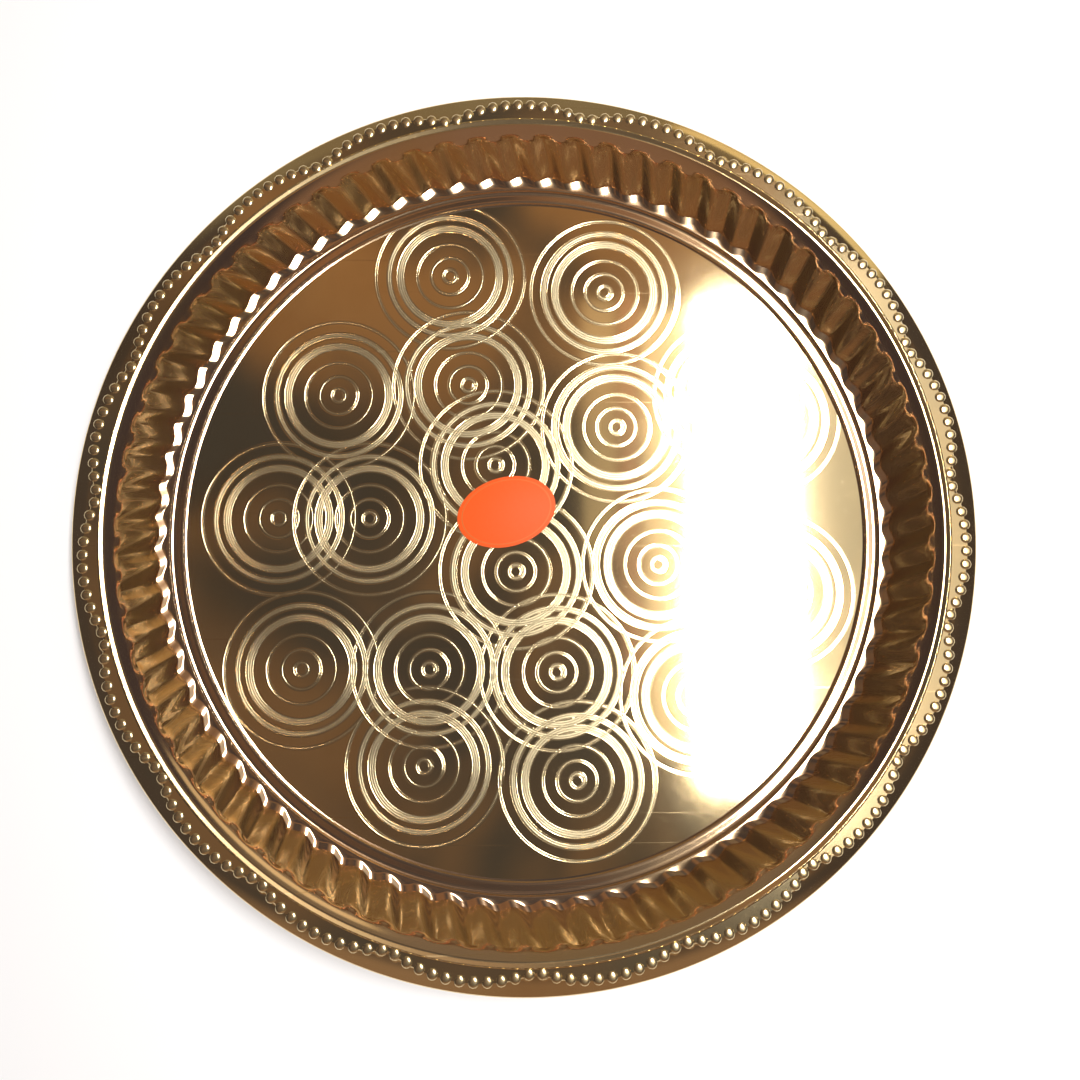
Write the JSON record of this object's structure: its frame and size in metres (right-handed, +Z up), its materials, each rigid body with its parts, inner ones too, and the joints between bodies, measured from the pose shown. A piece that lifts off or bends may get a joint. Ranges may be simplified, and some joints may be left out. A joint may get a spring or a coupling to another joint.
{
  "type": "thali plate",
  "caption": "Round pressed brass thali plate with a flat floor, stepped foot, fluted wall, beaded petal rim, rolled edge and a plain oval label.",
  "frame": {"origin": "centre of the flat floor's underside, the face that the plate rests on", "axes": "+Z up along the plate's axis; +Y to the top of the picture and +X to its right"},
  "size_m": [0.3048, 0.3048, 0.0245],
  "materials": {
    "floor_brass": "polished, with engine-turned rosettes",
    "brass": "polished",
    "label_paper": "plain gloss-coated paper"
  },
  "bodies": {
    "root": {"floor": "floor_brass", "stepped_foot": "brass", "fluted_wall": "brass", "petal_rim": "brass", "beads": "brass", "rolled_edge": "brass", "label": "label_paper"}
  },
  "joints": []
}
